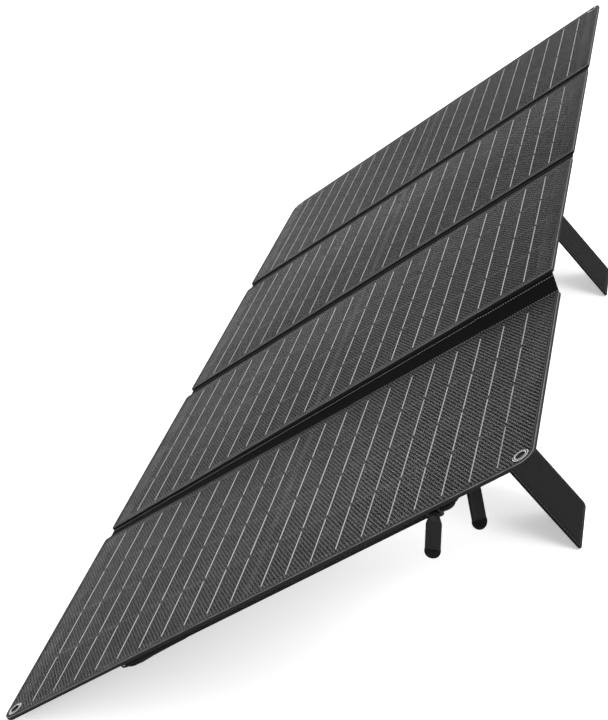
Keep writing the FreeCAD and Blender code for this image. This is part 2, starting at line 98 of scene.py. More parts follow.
def mount(name):
    return next(m for m in RECORD["mounts"] if m["name"] == name)


def joint(name):
    return next(j for j in frame["joints"] if j["name"] == name)


def eyelet_places(end):
    return [Vector(mount(f"eyelet_{place}_{end}")["pos_m"]) for place in ("ground", "top")]


def panel_axes(end):
    low, high = eyelet_places(end)
    return Axes(high - low, Y_AXIS, (high - low).cross(Y_AXIS))


NEAR_AXES = panel_axes("near")
FAR_AXES = panel_axes("far")
AXES = {panel: NEAR_AXES if panel == 1 else FAR_AXES for panel in PANELS}
FILM = {panel: AXES[panel].span(f"front_film_{panel}") for panel in PANELS}
CLOTH = {panel: AXES[panel].span(f"back_fabric_{panel}") for panel in PANELS}


# ---- materials
def new_material(name, roughness=0.6, metallic=0.0, specular=0.5):
    material = bpy.data.materials.new(name)
    material.use_nodes = True
    tree = material.node_tree
    shader = tree.nodes["Principled BSDF"]
    shader.inputs["Roughness"].default_value = roughness
    shader.inputs["Metallic"].default_value = metallic
    shader.inputs["Specular IOR Level"].default_value = specular
    return material, Graph(tree), shader


class Graph:
    """Short calls for the node tree of one material."""

    def __init__(self, tree):
        self.tree = tree
        self.place = tree.nodes.new("ShaderNodeTexCoord").outputs["Object"]

    def put(self, socket, value):
        if isinstance(value, bpy.types.NodeSocket):
            self.tree.links.new(value, socket)
        else:
            socket.default_value = value

    def math(self, operation, a, b=0.0):
        node = self.tree.nodes.new("ShaderNodeMath")
        node.operation = operation
        self.put(node.inputs[0], a)
        self.put(node.inputs[1], b)
        return node.outputs[0]

    def mix(self, *parts):
        """The sum of values, each times its weight."""
        terms = [self.math("MULTIPLY", value, weight) for value, weight in parts]
        total = terms[0]
        for term in terms[1:]:
            total = self.math("ADD", total, term)
        return total

    def along(self, direction):
        node = self.tree.nodes.new("ShaderNodeVectorMath")
        node.operation = "DOT_PRODUCT"
        self.put(node.inputs[0], self.place)
        node.inputs[1].default_value = direction
        return node.outputs["Value"]

    def noise(self, scale, detail=2.0, roughness=0.5):
        node = self.tree.nodes.new("ShaderNodeTexNoise")
        self.put(node.inputs["Vector"], self.place)
        node.inputs["Scale"].default_value = scale
        node.inputs["Detail"].default_value = detail
        node.inputs["Roughness"].default_value = roughness
        return node.outputs["Fac"]

    def ramp(self, value, *stops):
        """stops are (place, grey) or (place, (r, g, b))."""
        node = self.tree.nodes.new("ShaderNodeValToRGB")
        self.put(node.inputs[0], value)
        ramp = node.color_ramp
        while len(ramp.elements) < len(stops):
            ramp.elements.new(0.5)
        for element, (position, colour) in zip(ramp.elements, stops):
            element.position = position
            rgb = colour if isinstance(colour, tuple) else (colour, colour, colour)
            element.color = (*rgb, 1)
        return node.outputs["Color"]

    def colour(self, shader, value, *stops):
        self.put(shader.inputs["Base Color"], self.ramp(value, *stops))

    def bump(self, shader, height, distance, strength=1.0):
        node = self.tree.nodes.new("ShaderNodeBump")
        node.inputs["Strength"].default_value = strength
        node.inputs["Distance"].default_value = distance
        self.put(node.inputs["Height"], height)
        self.put(shader.inputs["Normal"], node.outputs["Normal"])


def sine_wave(graph, distance, pitch):
    """0 to 1 and back once in every pitch."""
    swing = graph.math("SINE", graph.math("MULTIPLY", distance, 2 * math.pi / pitch))
    return graph.math("ADD", graph.math("MULTIPLY", swing, 0.5), 0.5)


RIB_PITCH = 2.15 * MM
RIB_TURN = math.radians(32)     # from the slope direction towards the panels' run


def film_material(axes, name):
    """Embossed film: fine slanting ribs, faintly beaded, over the dark cells; the colour paints a highlight along
    each rib's crest.
    """
    material, g, shader = new_material(name, specular=0.12)
    across = axes.v * math.cos(RIB_TURN) + axes.y * math.sin(RIB_TURN)
    along = axes.y * math.cos(RIB_TURN) - axes.v * math.sin(RIB_TURN)
    ribs = sine_wave(g, g.along(across), RIB_PITCH)
    beads = sine_wave(g, g.along(along), RIB_PITCH)
    # patches, the crests and level below make a painted highlight along the rib crests, near black between them
    patches = g.ramp(g.noise(7.0, 1.0), (0.35, 0.8), (0.65, 1.0))
    crest_highlight = g.math("POWER", ribs, 1.4)
    level = g.math("MULTIPLY", crest_highlight, g.math("ADD", g.math("MULTIPLY", beads, 0.16), 0.84))
    level = g.math("MULTIPLY", level, patches)
    g.colour(shader, level, (0.0, 0.0005), (0.28, 0.003), (0.6, 0.13), (1.0, 0.26))
    shader.inputs["Alpha"].default_value = 0.38
    g.put(shader.inputs["Roughness"], g.ramp(g.noise(60.0, 3.0), (0.3, 0.42), (0.7, 0.56)))
    g.bump(shader, g.math("ADD", ribs, g.math("MULTIPLY", beads, 0.2)), 0.25 * MM, 0.6)
    return material


def film_border_material():
    """The smooth, welded rim of the film."""
    material, g, shader = new_material("film_border", roughness=0.6, specular=0.05)
    grain = g.noise(900.0, 3.0)
    g.colour(shader, grain, (0.3, 0.008), (0.7, 0.022))
    g.bump(shader, grain, 0.08 * MM, 0.4)
    return material


def film_edge_highlight_material():
    """The film's cut edge, coloured light as a painted highlight where light gathers."""
    material, g, shader = new_material("film_edge_highlight", roughness=0.4, specular=0.15)
    highlight_noise = g.noise(120.0, 4.0)
    # noise varies the brightness of the painted highlight
    g.colour(shader, highlight_noise, (0.3, 0.07), (0.7, 0.16))
    g.bump(shader, highlight_noise, 0.05 * MM, 0.3)
    return material


def cell_material():
    """Silicon wafers with fine printed fingers across the ribbons."""
    material, g, shader = new_material("silicon_cell", roughness=0.3, specular=0.6)
    fingers = sine_wave(g, g.along(FAR_AXES.y), 1.5 * MM)
    tint = g.noise(40.0, 3.0)
    lines = g.math("GREATER_THAN", fingers, 0.97)
    level = g.mix((lines, 0.5), (tint, 0.5))
    colours = ((0.2, (0.006, 0.007, 0.010)), (0.5, (0.012, 0.013, 0.018)), (0.9, (0.10, 0.10, 0.11)))
    g.colour(shader, level, *colours)
    g.bump(shader, tint, 0.02 * MM, 0.3)
    return material


def ribbon_material():
    """Tinned ribbon, seen through the film."""
    material, g, shader = new_material("tinned_ribbon", roughness=0.5, specular=0.6)
    grain = g.noise(700.0, 3.0)
    g.colour(shader, grain, (0.3, 0.72), (0.7, 0.95))
    g.bump(shader, grain, 0.04 * MM, 0.4)
    return material


def weave_material(name, dark, light, axes=FAR_AXES, thread=0.45 * MM, roughness=0.85, specular=0.05):
    """Plain woven polyester: threads over and under each other, with slight fading."""
    material, g, shader = new_material(name, roughness=roughness, specular=specular)
    warp = sine_wave(g, g.along(axes.v), 2 * thread)
    weft = sine_wave(g, g.math("ADD", g.along(axes.y), g.along(axes.n)), 2 * thread)
    over = g.math("ABSOLUTE", g.math("SUBTRACT", warp, weft))
    wear = g.noise(22.0, 4.0, 0.6)
    fuzz = g.noise(1500.0, 2.0)
    level = g.mix((over, 0.45), (wear, 0.4), (fuzz, 0.2))
    g.colour(shader, level, (0.2, dark), (0.85, light))
    g.bump(shader, g.math("ADD", over, g.math("MULTIPLY", fuzz, 0.4)), 0.12 * MM, 0.6)
    return material


def moulded_material(name, dark, light, roughness=0.55, grain_scale=900.0, specular=0.15):
    """Moulded plastic or rubber with a fine grain and slightly polished patches."""
    material, g, shader = new_material(name, roughness=roughness, specular=specular)
    grain = g.noise(grain_scale, 3.0)
    patches = g.noise(45.0, 3.0)
    level = g.mix((grain, 0.5), (patches, 0.5))
    g.colour(shader, level, (0.3, dark), (0.7, light))
    low, high = roughness - 0.1, roughness + 0.1
    g.put(shader.inputs["Roughness"], g.ramp(patches, (0.3, low), (0.7, high)))
    g.bump(shader, grain, 0.06 * MM, 0.5)
    return material


def metal_material(name, dark, light, roughness=0.3, direction=None):
    """Plated metal with fine turning or brushing marks and dulled patches."""
    material, g, shader = new_material(name, roughness=roughness, metallic=1.0)
    marks = g.noise(1800.0, 2.0)
    if direction is not None:
        marks = sine_wave(g, g.math("ADD", g.along(direction), g.math("MULTIPLY", marks, 0.0002)), 0.2 * MM)
    dull = g.noise(260.0, 3.0)
    level = g.mix((marks, 0.4), (dull, 0.6))
    g.colour(shader, level, (0.25, dark), (0.75, light))
    g.put(shader.inputs["Roughness"], g.ramp(dull, (0.3, roughness), (0.7, roughness + 0.2)))
    g.bump(shader, marks, 0.02 * MM, 0.3)
    return material


def thread_material(name, dark, light):
    """Twisted sewing thread."""
    material, g, shader = new_material(name, roughness=0.55, specular=0.5)
    twist = sine_wave(g, g.math("ADD", g.along(FAR_AXES.v), g.along(FAR_AXES.y)), 0.35 * MM)
    g.colour(shader, twist, (0.2, dark), (0.8, light))
    g.bump(shader, twist, 0.05 * MM, 0.5)
    return material


def board_material():
    """Pressed black fibre board, layered at its edges."""
    material, g, shader = new_material("fibre_board", roughness=0.8, specular=0.08)
    layers = sine_wave(g, g.along(FAR_AXES.n), 0.3 * MM)
    fibre = g.noise(700.0, 4.0)
    level = g.mix((layers, 0.35), (fibre, 0.65))
    g.colour(shader, level, (0.3, 0.006), (0.7, 0.016))
    g.bump(shader, level, 0.06 * MM, 0.5)
    return material


def circuit_material():
    """Green solder mask with copper tracks showing faintly through it."""
    material, g, shader = new_material("solder_mask", roughness=0.35, specular=0.6)
    tracks = g.math("GREATER_THAN", sine_wave(g, g.along(FAR_AXES.v), 3.1 * MM), 0.8)
    cloud = g.noise(120.0, 2.0)
    level = g.mix((tracks, 0.5), (cloud, 0.4))
    colours = ((0.1, (0.004, 0.045, 0.018)), (0.5, (0.008, 0.075, 0.03)), (0.9, (0.03, 0.17, 0.07)))
    g.colour(shader, level, *colours)
    g.bump(shader, tracks, 0.04 * MM, 0.4)
    return material


def floor_material():
    material, g, shader = new_material("floor_white", roughness=0.9, specular=0.1)
    g.colour(shader, g.noise(3.0, 2.0), (0.3, 0.88), (0.7, 0.90))
    shader.inputs["Emission Color"].default_value = (1, 1, 1, 1)
    shader.inputs["Emission Strength"].default_value = 0.45
    return material


LOOK = {
    "film_near": film_material(NEAR_AXES, "embossed_film_near"),
    "film_far": film_material(FAR_AXES, "embossed_film_far"),
    "film_border": film_border_material(),
    # painted highlight on the film's rounded edge
    "film_edge_highlight": film_edge_highlight_material(),
    "seal": moulded_material("seal_sheet", 0.006, 0.012, 0.5),
    "cell": cell_material(),
    "ribbon": ribbon_material(),
    "board": board_material(),
    "back_near": weave_material("back_weave_near", 0.003, 0.030, NEAR_AXES, thread=0.6 * MM),
    "back_far": weave_material("back_weave_far", 0.003, 0.030, thread=0.6 * MM),
    "fold": weave_material("fold_weave", 0.0015, 0.008, thread=0.55 * MM),
    "pouch": weave_material("pouch_weave", 0.0015, 0.009, NEAR_AXES, thread=0.5 * MM),
    "kick": weave_material("kick_weave", 0.003, 0.008, thread=0.3 * MM, roughness=0.75),
    "webbing": weave_material("webbing", 0.003, 0.016, thread=0.9 * MM),
    "thread": thread_material("thread_dark", 0.03, 0.10),
    # a lighter copy of the dark thread: painted highlight for the seam along fold 1
    "thread_light": thread_material("thread_light", 0.12, 0.38),
    "zip": moulded_material("zip_nylon", 0.006, 0.018, 0.4),
    "tape": weave_material("zip_tape", 0.004, 0.012, NEAR_AXES, thread=0.35 * MM),
    "slider": metal_material("slider_enamel", 0.01, 0.03, 0.4),
    "pull": moulded_material("pull_rubber", 0.002, 0.006, 0.5, specular=0.12),
    # a darker copy of the pull rubber, for the tabs' round ends
    "pull_dip": moulded_material("pull_tab_darker_end", 0.0006, 0.002, 0.35, specular=0.06),
    "eyelet": metal_material("eyelet_black_nickel", 0.015, 0.05, 0.3, NEAR_AXES.v),
    # light colour on the eyelets' crests: a painted highlight
    "eyelet_crest_highlight": metal_material("eyelet_crest_painted_highlight", 0.45, 0.75, 0.22),
    "box": moulded_material("box_plastic", 0.008, 0.018, 0.55),
    "screw": metal_material("screw_steel", 0.4, 0.65, 0.3),
    "socket": metal_material("socket_steel", 0.45, 0.7, 0.25, FAR_AXES.y),
    "pcb": circuit_material(),
    "gland": moulded_material("gland_rubber", 0.004, 0.010, 0.7),
}

CAD_LOOKS = (
    ("cell_seal_sheet", "seal"), ("solar_cells", "cell"), ("busbar_ribbons", "ribbon"),
    ("backing_board", "board"), ("kick_board", "board"), ("zip_slider", "slider"),
    ("junction_box_screws", "screw"), ("junction_box", "box"), ("circuit_board", "pcb"),
    ("usb_", "socket"), ("output_gland", "gland"), ("fold_jumpers", "eyelet"),
)
CAD_BEVELS = {"zip_slider": 0.35 * MM, "junction_box_base": 0.4 * MM, "junction_box_lid": 0.4 * MM,
              "junction_box_screws": 0.15 * MM, "output_gland": 0.2 * MM, "circuit_board": 0.1 * MM}


def finish_cad_nodes():
    """Materials on the CAD nodes that stay, and soft edges on those with sharp moulded ones."""
    for name, node in NODES.items():
        for prefix, look in CAD_LOOKS:
            if name.startswith(prefix):
                node.data.materials.clear()
                node.data.materials.append(LOOK[look])
                break
        for prefix, width in CAD_BEVELS.items():
            if name.startswith(prefix):
                weld = node.modifiers.new("weld", "WELD")
                weld.merge_threshold = 0.01 * MM
                bevel = node.modifiers.new("soft_edges", "BEVEL")
                bevel.width = width
                bevel.segments = 2
                bevel.limit_method = "ANGLE"
                bevel.angle_limit = math.radians(40)


# ---- mesh helpers
def add_object(name, data):
    made = bpy.data.objects.new(name, data)
    bpy.context.scene.collection.objects.link(made)
    return made


def make_object(name, vertices, faces, looks, face_looks=None):
    mesh = bpy.data.meshes.new(name)
    mesh.from_pydata([tuple(vertex) for vertex in vertices], [], faces)
    for look in looks if isinstance(looks, (list, tuple)) else [looks]:
        mesh.materials.append(LOOK[look])
    if face_looks:
        mesh.polygons.foreach_set("material_index", face_looks)
    mesh.validate()
    fixed = bmesh.new()
    fixed.from_mesh(mesh)
    bmesh.ops.recalc_face_normals(fixed, faces=fixed.faces)
    fixed.to_mesh(mesh)
    fixed.free()
    mesh.shade_smooth()
    return add_object(name, mesh)


def apply_modifiers(piece):
    """Bakes a piece's modifiers into its mesh."""
    graph = bpy.context.evaluated_depsgraph_get()
    mesh = bpy.data.meshes.new_from_object(piece.evaluated_get(graph))
    piece.modifiers.clear()
    piece.data = mesh
    return piece


def sharp_by_angle(piece, degrees=35):
    piece.data.shade_smooth()
    fixed = bmesh.new()
    fixed.from_mesh(piece.data)
    for edge in fixed.edges:
        edge.smooth = edge.calc_face_angle(0) < math.radians(degrees)
    fixed.to_mesh(piece.data)
    fixed.free()
    return piece


def outline(v_span, y_span, r_near, r_far, inset, steps=6):
    """A rounded rectangle, the same number of points at any inset, counted the same way round."""
    v0, v1 = v_span[0] + inset, v_span[1] - inset
    y0, y1 = y_span[0] + inset, y_span[1] - inset
    corners = ((v0, y0, r_near, 180), (v1, y0, r_near, 270), (v1, y1, r_far, 0), (v0, y1, r_far, 90))
    points = []
    for v, y, radius, start in corners:
        r = max(radius - inset, 0.3 * MM)
        centre_v = v + r if v == v0 else v - r
        centre_y = y + r if y == y0 else y - r
        for step in range(steps + 1):
            angle = math.radians(start + 90 * step / steps)
            points.append((centre_v + r * math.cos(angle), centre_y + r * math.sin(angle)))
    return points


def skin(faces, base, rings, count, caps=True):
    """Faces between rings of count points each, from vertex base on, and over both ends."""
    for ring in range(rings - 1):
        for index in range(count):
            a = base + ring * count + index
            b = base + ring * count + (index + 1) % count
            faces.append((a, b, b + count, a + count))
    if caps:
        last = base + (rings - 1) * count
        faces.append(tuple(range(base, base + count)))
        faces.append(tuple(range(last, last + count)))


def shell_of_rings(axes, rings, close=True):
    """Vertices and faces from rings of (v, y) points, each ring at its own n."""
    vertices = [axes.world(v, y, n) for points, n in rings for v, y in points]
    faces = []
    skin(faces, 0, len(rings), len(rings[0][0]), close)
    return vertices, faces


def cut_holes(piece, centres, axis, radius):
    """Round holes right through a piece."""
    for centre in centres:
        drill = bpy.data.meshes.new("drill")
        shape = bmesh.new()
        turn = axis.to_track_quat("Z", "Y").to_matrix().to_4x4()
        bmesh.ops.create_cone(shape, cap_ends=True, segments=40, radius1=radius, radius2=radius,
                              depth=0.02, matrix=Matrix.Translation(centre) @ turn)
        shape.to_mesh(drill)
        shape.free()
        tool = add_object("drill", drill)
        cut = piece.modifiers.new("hole", "BOOLEAN")
        cut.operation = "DIFFERENCE"
        cut.solver = "EXACT"
        cut.object = tool
        apply_modifiers(piece)
        bpy.data.objects.remove(tool)
    return piece


def eyelet_mounts(panel):
    end = {1: "near", 4: "far"}.get(panel)
    return eyelet_places(end) if end else []


def path_points(corners, spacing, closed=False):
    """Points evenly spaced along a run of straight lines, each with its direction."""
    pairs = list(zip(corners, corners[1:] + corners[:1] if closed else corners[1:]))
    lengths = [(b - a).length for a, b in pairs]
    total = sum(lengths)
    count = max(1, round(total / spacing))
    step = total / count
    made = []
    for index in range(count):
        distance = (index + 0.5) * step
        for (a, b), length in zip(pairs, lengths):
            if distance <= length:
                made.append((a + (b - a) * (distance / length), (b - a).normalized()))
                break
            distance -= length
    return made


STITCH_PROFILE = ((-0.5, 0.15), (-0.3, 0.8), (0.0, 1.0), (0.3, 0.8), (0.5, 0.15))


def stitch_mesh(runs, look, name, length=2.2 * MM, spacing=3.0 * MM, width=0.55 * MM, height=0.3 * MM):
    """Rows of raised thread. runs are (corner points, outward normal, closed)."""
    vertices, faces = [], []
    sides = 6
    for corners, normal, closed in runs:
        for centre, along in path_points(corners, spacing, closed):
            across = normal.cross(along).normalized()
            base = len(vertices)
            for position, fullness in STITCH_PROFILE:
                middle = centre + along * (position * length)
                for side in range(sides):
                    angle = 2 * math.pi * side / sides
                    offset = across * (math.cos(angle) * width / 2 * fullness)
                    lift = normal * (math.sin(angle) * height * fullness)
                    vertices.append(middle + offset + lift)
            skin(faces, base, len(STITCH_PROFILE), sides)
    return make_object(name, vertices, faces, look)


# ---- panels
OUTER_RADIUS = 9.0 * MM
EYELET_SEAT_R = 3.45 * MM
FOLD_RADIUS = 1.5 * MM
SEAM_INSET = 1.65 * MM


def panel_radii(panel):
    return (OUTER_RADIUS if panel == 1 else FOLD_RADIUS), (OUTER_RADIUS if panel == 4 else FOLD_RADIUS)


def front_film(panel):
    """The clear film: rounded shoulder, welded rim with a groove, and the embossed field."""
    axes = AXES[panel]
    v_span, y_span, n_span = FILM[panel]
    back, front = n_span
    radii = panel_radii(panel)
    profile = ((0.0, back), (0.0, front - 0.32 * MM), (0.1 * MM, front - 0.12 * MM),
               (0.4 * MM, front), (1.1 * MM, front), (1.3 * MM, front - 0.16 * MM),
               (2.0 * MM, front - 0.16 * MM), (2.2 * MM, front))
    rings = [(outline(v_span, y_span, *radii, inset), n) for inset, n in profile]
    vertices, faces = shell_of_rings(axes, rings)
    count = len(rings[0][0])
    looks = []
    for ring in range(len(profile) - 1):
        # rings 1 and 2 are the rounded shoulder, which gets the film's painted-highlight edge material
        looks += [2 if ring in (1, 2) else 1] * count
    looks += [1, 0]
    film = "film_near" if panel == 1 else "film_far"
    piece = make_object(f"front_film_skin_{panel}", vertices, faces,
                        [film, "film_border", "film_edge_highlight"], face_looks=looks)
    cut_holes(piece, eyelet_mounts(panel), axes.n, EYELET_SEAT_R)
    sharp_by_angle(piece, 50)
    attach(piece, f"panel_{panel}")
    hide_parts(f"front_film_{panel}")


def seam_corners(axes, v_span, y_span, radii, inset, n):
    return [axes.world(v, y, n) for v, y in outline(v_span, y_span, *radii, inset, 4)]


def front_stitches(panel):
    axes = AXES[panel]
    v_span, y_span, n_span = FILM[panel]
    corners = seam_corners(axes, v_span, y_span, panel_radii(panel), SEAM_INSET, n_span[1] - 0.1 * MM)
    piece = stitch_mesh([(corners, axes.n, True)], "thread", f"front_seam_{panel}",
                        length=1.5 * MM, spacing=2.1 * MM, width=0.5 * MM, height=0.26 * MM)
    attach(piece, f"panel_{panel}")


def back_cover(panel):
    """The cloth on a panel's back: a stretched sheet with a shallow groove under its seam and a turned hem."""
    axes = AXES[panel]
    v_span, y_span, n_span = CLOTH[panel]
    back, front = n_span
    radii = panel_radii(panel)
    insets = (0.0, 0.0, 0.25, 0.8, 3.2, 4.2, 5.2, 10, 17, 26, 36, 48, 60, 74, 88)
    drops = (1.0, 0.45, 0.08, 0.0, 0.0, 0.35, 0.0, 0, 0, 0, 0, 0, 0, 0, 0)
    thickness = front - back
    rings = [(outline(v_span, y_span, *radii, inset * MM, 6), back + drop * thickness)
             for inset, drop in zip(insets, drops)]
    vertices, faces = shell_of_rings(axes, rings)
    look = "back_near" if panel == 1 else "back_far"
    piece = make_object(f"back_cover_{panel}", vertices, faces, look)
    if eyelet_mounts(panel):
        cut_holes(piece, eyelet_mounts(panel), axes.n, EYELET_SEAT_R)
    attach(piece, f"panel_{panel}")
    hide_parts(f"back_fabric_{panel}")
    corners = seam_corners(axes, v_span, y_span, radii, 4.2 * MM, back + 0.1 * MM)
    seam = stitch_mesh([(corners, -axes.n, True)], "thread", f"back_seam_{panel}")
    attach(seam, f"panel_{panel}")


EYELET_PROFILE = (
    (3.0, -1.3), (3.0, 1.4), (3.12, 1.62), (3.4, 1.74), (3.75, 1.70), (3.95, 1.56), (4.15, 1.52),
    (4.5, 1.62), (4.8, 1.58), (5.0, 1.42), (5.0, 1.30), (3.42, 1.30),
    (3.42, -1.30), (5.0, -1.30), (5.0, -1.42), (4.7, -1.6), (4.2, -1.66), (3.5, -1.7), (3.12, -1.6),
)


# profile faces on the bead and rim crests, which get the painted highlight
EYELET_CRESTS = (2, 3, 7, 8)


def eyelets(panel):
    """Rolled metal eyelets: a turned profile with a bead round the bore and a flat washer lip; the crests carry a
    painted highlight.
    """
    axes = AXES[panel]
    vertices, faces, looks = [], [], []
    steps = 56
    for centre in eyelet_mounts(panel):
        base = len(vertices)
        for step in range(steps):
            angle = 2 * math.pi * step / steps
            out = axes.v * math.cos(angle) + axes.y * math.sin(angle)
            vertices += [centre + out * (r * MM) + axes.n * (h * MM) for r, h in EYELET_PROFILE]
        count = len(EYELET_PROFILE)
        for step in range(steps):
            here, there = base + step * count, base + (step + 1) % steps * count
            for index in range(count):
                following = (index + 1) % count
                faces.append((here + index, here + following, there + following, there + index))
                # crest faces take the painted-highlight material
                looks.append(1 if index in EYELET_CRESTS else 0)
    piece = make_object(f"corner_eyelet_rings_{panel}", vertices, faces, ["eyelet", "eyelet_crest_highlight"],
                        face_looks=looks)
    sharp_by_angle(piece, 50)
    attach(piece, f"panel_{panel}")
    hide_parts(f"corner_eyelets_{panel}")


# ---- folds
def blend_sheet(name, rows, columns, point, thickness, normal_at, look):
    """A closed sheet over a grid; point(i, j) is on its outer face, and it is thickness deep."""
    vertices = []
    for layer in (0.0, thickness):
        for i in range(rows + 1):
            for j in range(columns + 1):
                vertices.append(point(i / rows, j / columns) - normal_at(i / rows, j / columns) * layer)
    faces = []
    width = columns + 1
    half = (rows + 1) * width
    for i in range(rows):
        for j in range(columns):
            a = i * width + j
            faces.append((a, a + 1, a + width + 1, a + width))
            b = a + half
            faces.append((b, b + width, b + width + 1, b + 1))
    rim = [j for j in range(columns)] + [i * width + columns for i in range(rows)]
    rim += [rows * width + j for j in range(columns, 0, -1)] + [i * width for i in range(rows, 0, -1)]
    for a, b in zip(rim, rim[1:] + rim[:1]):
        faces.append((a, b, b + half, a + half))
    return make_object(name, vertices, faces, look)


FOLD_ROWS = 130
FOLD_FRONT = 0.6 * MM         # height of the cloth's front over the panels' backs
FOLD_END_INSET = 1.0 * MM
WELTS = (60.0 * MM, 337.0 * MM)    # the two flat conductors, up the slope
WELT_HALF = 3.4 * MM
WELT_HEIGHT = 0.4 * MM


def fold_cloth(fold):
    """The cloth between two panels, with a slack dip and the welts of two flat conductors."""
    near_axes, far_axes = AXES[fold], AXES[fold + 1]
    near_y = CLOTH[fold][1][1] - 0.1 * MM
    far_y = CLOTH[fold + 1][1][0] + 0.1 * MM
    v_near, v_far = CLOTH[fold][0], CLOTH[fold + 1][0]
    back_near, back_far = CLOTH[fold][2][0], CLOTH[fold + 1][2][0]

    def raised(u, t):
        height = 0.0
        for welt in WELTS:
            away = (u * (v_near[1] - v_near[0]) - welt) / WELT_HALF
            height += WELT_HEIGHT * math.exp(-away ** 4)
        dip = 0.12 * MM * math.sin(math.pi * t) * (1 + 0.6 * math.sin(u * 37 + fold))
        return height - dip

    def normal(u, t):
        return near_axes.n.lerp(far_axes.n, t).normalized()

    def point(u, t):
        v0, v1 = (low + FOLD_END_INSET + u * (high - low - 2 * FOLD_END_INSET)
                  for low, high in (v_near, v_far))
        start = near_axes.world(v0, near_y, back_near + FOLD_FRONT)
        end = far_axes.world(v1, far_y, back_far + FOLD_FRONT)
        return start.lerp(end, t) + normal(u, t) * raised(u, t)

    piece = blend_sheet(f"fold_cloth_{fold}", FOLD_ROWS, 16, point, 0.5 * MM, normal, "fold")
    middle = (point(0.5, 0), point(0.5, 1))
    rows = []
    for t in (0.16, 0.84):
        line = [point(k / FOLD_ROWS, t) + normal(k / FOLD_ROWS, t) * 0.02 * MM for k in range(FOLD_ROWS + 1)]
        rows.append((line, normal(0.5, t), False))
    # the seam along fold 1 uses the lighter thread copy as a painted highlight
    seam = stitch_mesh(rows, "thread_light" if fold == 1 else "thread", f"fold_seam_{fold}",
                       length=1.3 * MM, spacing=2.0 * MM, width=0.45 * MM, height=0.22 * MM)
    for made in (piece, seam):
        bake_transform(made)
    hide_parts(f"fold_strip_{fold}", f"fold_jumpers_{fold}")


# ---- kick-flaps
def kick_axes(panel):
    """Axes of a flap, from its board: v points from the hinge to the foot, n away from the panel."""
    points = coordinates(NODES[f"kick_board_{panel}"])
    hinge = Vector(joint(f"kick_flap_{panel}_fold")["pos_m"])
    low = Vector(points[points[:, 2] < points[:, 2].min() + 3 * MM].mean(0))
    high = Vector(points[points[:, 2] > points[:, 2].max() - 3 * MM].mean(0))
    along = low - high
    along.y = 0
    return Axes(along, Y_AXIS, along.cross(Y_AXIS)), hinge


def kick_sleeve(panel):
    """Coated cloth sewn round a board: a flat raised middle, a thin hem and rounded feet."""
    axes, _ = kick_axes(panel)
    v_span, y_span, n_span = axes.span(f"kick_sleeve_{panel}")
    middle = sum(n_span) / 2
    half = (n_span[1] - n_span[0]) / 2
    insets = (0.0, 0.15, 0.5, 1.4, 2.6, 3.3, 4.1, 5.0, 14.0, 24.0)
    heights = (0.30, 0.52, 0.66, 0.72, 0.70, 0.78, 0.94, 1.0, 1.0, 1.0)

    def flap_outline(inset):
        v0, v1 = v_span[0] + min(inset, 3 * MM) * 0.2, v_span[1] - inset
        y0, y1 = y_span[0] + inset, y_span[1] - inset
        r = max(4.0 * MM - inset, 0.5 * MM)
        runs = 24
        points = [(v0 + (v1 - r - v0) * k / runs, y0) for k in range(runs)]
        for start, centre_y in ((-90, y0 + r), (0, y1 - r)):
            for k in range(7):
                angle = math.radians(start + 90 * k / 6)
                points.append((v1 - r + r * math.cos(angle), centre_y + r * math.sin(angle)))
        return points + [(v1 - r - (v1 - r - v0) * (k + 1) / runs, y1) for k in range(runs)]

    rings = [(flap_outline(inset * MM), middle - half * height)
             for inset, height in reversed(list(zip(insets, heights)))]
    rings += [(flap_outline(inset * MM), middle + half * height) for inset, height in zip(insets, heights)]
    vertices, faces = shell_of_rings(axes, rings)
    piece = make_object(f"kick_flap_cover_{panel}", vertices, faces, "kick")
    seam_inset = 2.3 * MM
    loop = [axes.world(v, y, middle) for v, y in flap_outline(seam_inset)]
    rows = [([point + normal * (half * 0.72) for point in loop], normal, False)
            for normal in (axes.n, -axes.n)]
    seam = stitch_mesh(rows, "thread", f"kick_flap_seam_{panel}", width=0.4 * MM, height=0.16 * MM)
    for made in (piece, seam):
        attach(made, f"kick_flap_{panel}")
    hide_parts(f"kick_sleeve_{panel}")


